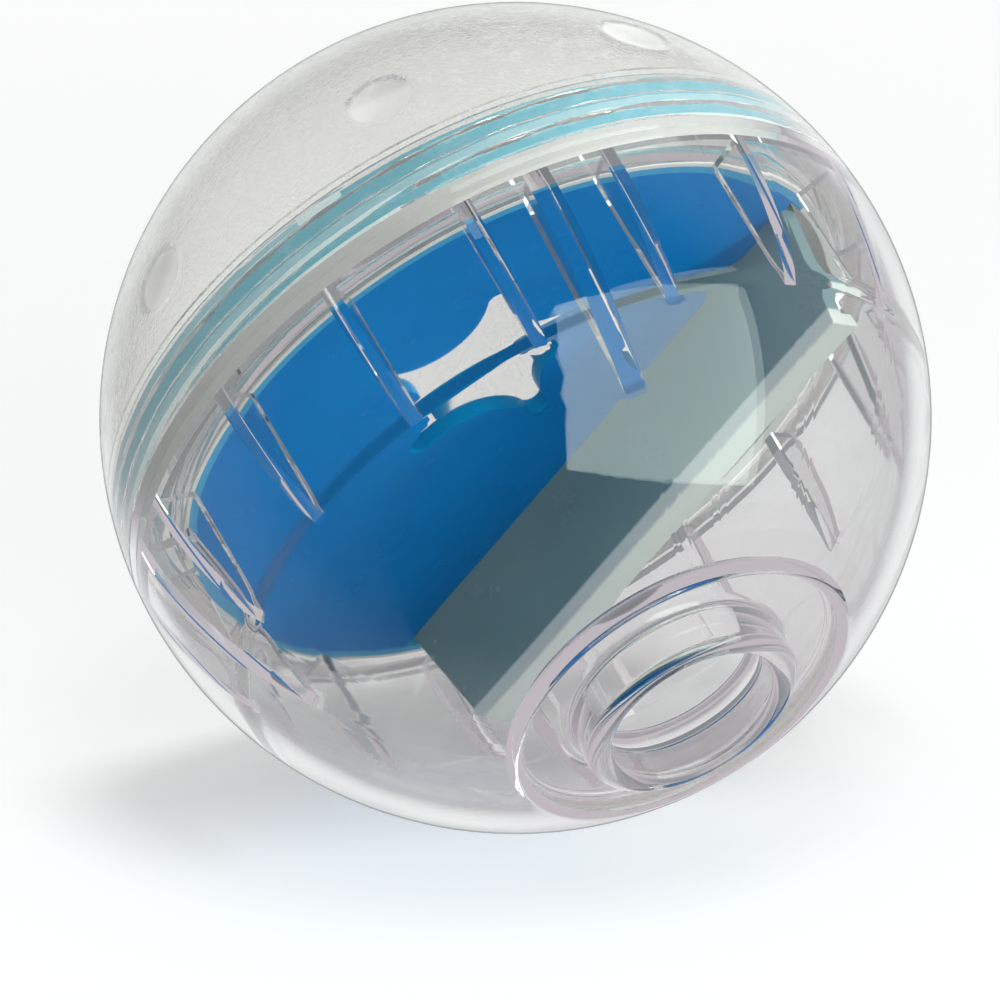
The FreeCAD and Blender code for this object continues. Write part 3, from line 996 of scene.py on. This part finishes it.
@dataclass
class Ring:
    """The clear ring with the shoulder, the neck and the male thread, in millimetres."""

    ball_radius: float
    shoulder: float = 3.2
    bore: float = 45.2
    neck: float = 46.5
    length: float = 12.6
    chamfer: float = 0.4
    glint_shares: Span = (0.3, 0.97)
    columns: int = 384
    thread: Helix = field(default_factory=lambda: Helix(0.0, -11.2, 1.75, half_base=1.0, half_crest=0.55))

    def glint_flank(self) -> Span:
        """The radii, in metres, between which the thread's flanks carry painted highlights."""
        inner, outer = self.glint_shares
        return (self.neck + self.thread.depth * inner) * MM, (self.neck + self.thread.depth * outer) * MM

    def build(self) -> bpy.types.Object:
        """Makes the ring with its ridge in relief.

        Returns:
            One closed solid.
        """
        neck, low, high = self.neck, self.chamfer - self.length, -self.shoulder
        rim = leg(self.ball_radius, self.shoulder)
        profile = straight((self.bore, 0.0), (self.bore, -self.length), 8)
        profile += straight((neck - self.chamfer, -self.length), (neck, low), 2)
        profile += straight((neck, low), (neck, high), 64)[1:]
        profile += straight((neck, high), (rim, high), 4)[1:]
        profile += arc((0, 0), self.ball_radius, direction(rim, high), 0, 4)[1:]

        def relief(radius: np.ndarray, height: np.ndarray, angle: np.ndarray) -> np.ndarray:
            """Raises the ridge on the neck's outside."""
            return radius + self.thread.rise(height, angle) * on_wall(radius, height, neck, low, high)

        return turned("thread_ring_shell", profile, self.columns, True, relief)

    def fit(self) -> None:
        """Builds the ring, dresses it and lets it stand for its node."""
        ring = self.build()
        dress(ring, ClearPlastic("clear_ring", glint_flank=self.glint_flank()))
        stand_in(ring, Body.CLEAR_HALF, "thread_ring")


@dataclass
class FrostedBowl:
    """The frosted half with its threaded mouth and thumb dimples, in millimetres and degrees."""

    ball_radius: float
    wall: float = 2.2
    rim: float = -3.35
    lip: float = 0.35
    thread_root: float = 47.65
    ledge: float = -13.0
    chamfer: float = 0.5
    dimple_count: int = 8
    dimple_first: float = -7.1
    dimple_latitude: float = -24.5
    dimple_radius: float = 4.5
    dimple_depth: float = 0.8
    skin: float = 0.01
    columns: int = 448
    thread: Helix = field(default_factory=lambda: Helix(139.5, -11.65, 1.63, half_base=1.25, half_crest=0.8))

    def build(self) -> bpy.types.Object:
        """Makes the bowl, from the outer pole to the inner one.

        Returns:
            One closed solid.
        """
        inner = self.ball_radius - self.wall
        edge = leg(self.ball_radius, self.rim)
        root, low, high = self.thread_root, self.ledge, self.rim - self.chamfer
        ledge_radius = leg(inner, self.ledge)
        profile = arc((0, 0), self.ball_radius, -90, direction(edge, self.rim - self.lip), 150)
        profile += straight((edge - self.lip, self.rim), (root + self.chamfer, self.rim), 4)
        profile += straight((root, high), (root, low), 62)
        profile += straight((root, low), (ledge_radius, low), 2)[1:]
        profile += arc((0, 0), inner, direction(ledge_radius, low), -90, 60)[1:]

        def relief(radius: np.ndarray, height: np.ndarray, angle: np.ndarray) -> np.ndarray:
            """Raises the ridge on the mouth's inside."""
            return radius - self.thread.rise(height, angle) * on_wall(radius, height, root, low, high)

        bowl = turned("frosted_bowl", profile, self.columns, False, relief)
        self.press_dimples(bowl)
        return bowl

    def press_dimples(self, bowl: bpy.types.Object) -> None:
        """Moves the outside's points in to the round floor of each dimple.

        Args:
            bowl: The bowl without its dimples.
        """
        edge = leg(self.ball_radius, self.dimple_radius)
        cutter = (self.dimple_radius**2 + self.dimple_depth**2) / (2 * self.dimple_depth)
        centre = edge - self.dimple_depth + cutter
        points = np.empty(len(bowl.data.vertices) * 3)
        bowl.data.vertices.foreach_get("co", points)
        points = points.reshape(-1, 3) / MM
        reach = np.linalg.norm(points, axis=1)
        outside = reach > self.ball_radius - self.skin
        tilt = math.radians(self.dimple_latitude)
        for angle in evenly(self.dimple_first, self.dimple_count):
            turn = math.radians(angle)
            flat = math.cos(tilt)
            axis = np.array([flat * math.cos(turn), flat * math.sin(turn), math.sin(tilt)])
            unit = points / reach[:, None]
            cosine = unit @ axis
            inside = cutter**2 - centre**2 * (1 - cosine**2)
            floor = centre * cosine - np.sqrt(np.maximum(inside, 0))
            hit = (inside > 0) & (cosine > 0) & (floor < reach) & outside
            points[hit] = unit[hit] * floor[hit][:, None]
        bowl.data.vertices.foreach_set("co", (points * MM).ravel())
        bowl.data.update()

    def fit(self) -> None:
        """Builds the bowl, dresses it and lets it stand for its node."""
        bowl = self.build()
        dress(bowl, FrostedPlastic())
        stand_in(bowl, Body.FROSTED, "frosted_half")


@dataclass
class Insert:
    """The blue disc and the milky divider, which are the CAD nodes themselves with softened edges."""

    nodes: Mapping[str, bpy.types.Object]
    disc_edge: float = 0.3 * MM
    divider_edge: float = 0.35 * MM

    def fit(self) -> None:
        """Dresses both nodes and softens their edges."""
        disc, divider = self.nodes["star_disc"], self.nodes["divider_wall"]
        dress(disc, BluePlastic())
        dress(divider, MilkyPlastic())
        soften(disc, self.disc_edge)
        soften(divider, self.divider_edge)


@dataclass(frozen=True)
class Lamp:
    """A soft rectangular lamp that faces the ball.

    Attributes:
        name: The lamp's name.
        place: Its place to the right, above the floor and towards the camera, in metres.
        size: Its width and height, in metres.
        power: Its power, in watts.
        colour: Its colour.
        mirrored: True if it shows in the gloss only, False if it lights dull surfaces only.
        spares_floor: True if it leaves the floor unlit.
    """

    name: str
    place: Place
    size: Span
    power: float
    colour: Colour = (0.97, 1.0, 0.99)
    mirrored: bool = False
    spares_floor: bool = False


@dataclass
class Studio:
    """The floor, the lamps, the white surroundings and the camera at the photograph's angle."""

    ball_radius: float
    elevation: float = 30.54
    roll: float = 59.04
    distance: float = 3048 * MM
    sensor: float = 36.0
    clip_end: float = 20.0
    centre_x: float = 515.5
    centre_y: float = 418.0
    ball_pixels: float = 416.2
    look_down: float = 20.0
    floor_sides: int = 96
    floor_gap: float = 0.05 * MM
    ambient: float = 0.4
    behind: Stops = (
        (0.0, WHITE),
        (0.1, WHITE),
        (0.22, (0.72, 0.73, 0.73)),
        (0.5, (0.46, 0.47, 0.47)),
        (0.62, (0.75, 0.76, 0.76)),
        (0.8, WHITE),
    )
    room: Stops = (
        (0.0, (0.3, 0.33, 0.33)),
        (0.006, (0.36, 0.39, 0.39)),
        (0.012, (0.93, 0.95, 0.95)),
        (0.05, (0.93, 0.95, 0.95)),
        (0.1, (0.54, 0.54, 0.56)),
        (0.3, (0.375, 0.395, 0.41)),
        (0.55, (0.27, 0.3, 0.315)),
        (0.68, (0.04, 0.07, 0.08)),
        (1.0, (0.025, 0.05, 0.06)),
    )
    lamps: tuple[Lamp, ...] = (
        Lamp("softbox", (0.67, 0.39, 0.635), (1.13, 0.93), 10.5, colour=(0.86, 1.0, 0.9), mirrored=True),
        Lamp("front_fill", (0.3, 0.22, 0.9), (0.9, 0.7), 3.8),
        Lamp("side_key", (0.93, 0.35, 0.06), (0.15, 0.15), 10.0, spares_floor=True),
        Lamp("top_light", (0.15, 1.1, 0.35), (0.35, 0.35), 5.0),
    )

    def axes(self) -> tuple[Vector, Vector, Vector]:
        """Works out the view.

        Returns:
            The camera's right, up and back directions.
        """
        lift, turn = math.radians(self.elevation), math.radians(self.roll)
        right = Vector((-math.sin(lift) * math.cos(turn), -math.sin(turn), math.cos(lift) * math.cos(turn)))
        up = Vector((math.sin(lift) * math.sin(turn), -math.cos(turn), -math.cos(lift) * math.sin(turn)))
        back = Vector((math.cos(lift), 0.0, math.sin(lift)))
        return right, up, back

    def floor_up(self) -> Vector:
        """The floor's upward direction."""
        _, up, back = self.axes()
        down = math.radians(self.look_down)
        return up * math.cos(down) + back * math.sin(down)

    def camera(self) -> None:
        """Places the camera so that the ball fills the same pixels as in the photograph."""
        right, up, back = self.axes()
        slant = math.asin(self.ball_radius * MM / self.distance)
        focal = self.ball_pixels / math.tan(slant)
        shift_x = (self.centre_x - PHOTO_SIDE / 2) / focal * self.distance
        shift_y = (PHOTO_SIDE / 2 - self.centre_y) / focal * self.distance
        data = bpy.data.cameras.new("camera")
        data.sensor_width = self.sensor
        data.lens = focal / PHOTO_SIDE * self.sensor
        data.clip_end = self.clip_end
        camera = bpy.data.objects.new("camera", data)
        camera.matrix_world = Matrix((right, up, back)).transposed().to_4x4()
        camera.location = back * self.distance - right * shift_x - up * shift_y
        bpy.context.scene.collection.objects.link(camera)
        bpy.context.scene.camera = camera

    def floor(self) -> bpy.types.Object:
        """Lays the floor under and behind the ball.

        Returns:
            The floor.
        """
        paper = Paper()
        up = self.floor_up()
        build = bmesh.new()
        bmesh.ops.create_circle(build, cap_ends=True, segments=self.floor_sides, radius=paper.reach)
        mesh = bpy.data.meshes.new("floor")
        build.to_mesh(mesh)
        build.free()
        mesh.materials.append(paper.material())
        floor = bpy.data.objects.new("floor", mesh)
        floor.rotation_mode = "QUATERNION"
        floor.rotation_quaternion = up.to_track_quat("Z", "Y")
        floor.location = up * (-self.ball_radius * MM - self.floor_gap)
        bpy.context.scene.collection.objects.link(floor)
        return floor

    def hang(self, lamp: Lamp, floor: bpy.types.Object) -> None:
        """Hangs one lamp.

        Args:
            lamp: The lamp.
            floor: The floor, which some lamps leave unlit.
        """
        right, _, _ = self.axes()
        up = self.floor_up()
        near = right.cross(up)
        data = bpy.data.lights.new(lamp.name, "AREA")
        data.shape = "RECTANGLE"
        data.size, data.size_y = lamp.size
        data.energy = lamp.power
        data.color = lamp.colour
        light = bpy.data.objects.new(lamp.name, data)
        light.location = right * lamp.place[0] + up * lamp.place[1] + near * lamp.place[2]
        light.rotation_mode = "QUATERNION"
        light.rotation_quaternion = light.location.to_track_quat("Z", "Y")
        light.visible_diffuse = not lamp.mirrored
        light.visible_glossy = lamp.mirrored
        light.visible_transmission = lamp.mirrored
        bpy.context.scene.collection.objects.link(light)
        if lamp.spares_floor:
            unlit = bpy.data.collections.new(f"{lamp.name}_unlit")
            unlit.objects.link(floor)
            unlit.collection_objects[0].light_linking.link_state = "EXCLUDE"
            light.light_linking.receiver_collection = unlit

    def surroundings(self) -> None:
        """Makes the world: white where it shows, and a dim room with a white far side in reflections."""
        world = bpy.data.worlds.new("surroundings")
        bpy.context.scene.world = world
        world.use_nodes = True
        graph = Graph(world.node_tree)
        _, _, near = self.axes()
        look = graph.add("ShaderNodeTexCoord", output="Generated")
        facing = graph.vector("DOT_PRODUCT", {0: look, 1: near}, "Value") * 0.5 + 0.5
        through = graph.add("ShaderNodeValToRGB", {"stops": self.behind}, {0: facing})
        room = graph.add("ShaderNodeValToRGB", {"stops": self.room}, {0: facing})
        straight_on = graph.add("ShaderNodeBackground", None, {"Color": through, "Strength": 1.0})
        mirrored = graph.add("ShaderNodeBackground", None, {"Color": room, "Strength": 1.0})
        plain = graph.add("ShaderNodeBackground", None, {"Color": WHITE, "Strength": self.ambient})
        white = graph.add("ShaderNodeBackground", None, {"Color": WHITE, "Strength": 1.0})
        path = graph.add("ShaderNodeLightPath", output="Is Camera Ray")
        clear = path.highest(path.out("Is Transmission Ray")).highest(path.out("Is Glossy Ray"))
        shown = graph.blend(path.out("Glossy Depth") > 0.5, straight_on, mirrored)
        graph.finish(graph.blend(path, graph.blend(clear, plain, shown), white), "ShaderNodeOutputWorld")

    def build(self) -> None:
        """Sets up the whole studio."""
        self.surroundings()
        floor = self.floor()
        for lamp in self.lamps:
            self.hang(lamp, floor)
        self.camera()
        bpy.context.scene.view_settings.view_transform = "Standard"


def main() -> None:
    """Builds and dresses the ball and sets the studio."""
    logging.basicConfig(level=logging.INFO, format="%(name)s: %(message)s")
    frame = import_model()
    ball_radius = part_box("clear_dome")[1].x / MM
    for part in (Dome(ball_radius), Ring(ball_radius), FrostedBowl(ball_radius), Insert(frame["nodes"])):
        part.fit()
    Studio(ball_radius).build()


if __name__ == "__main__":
    main()
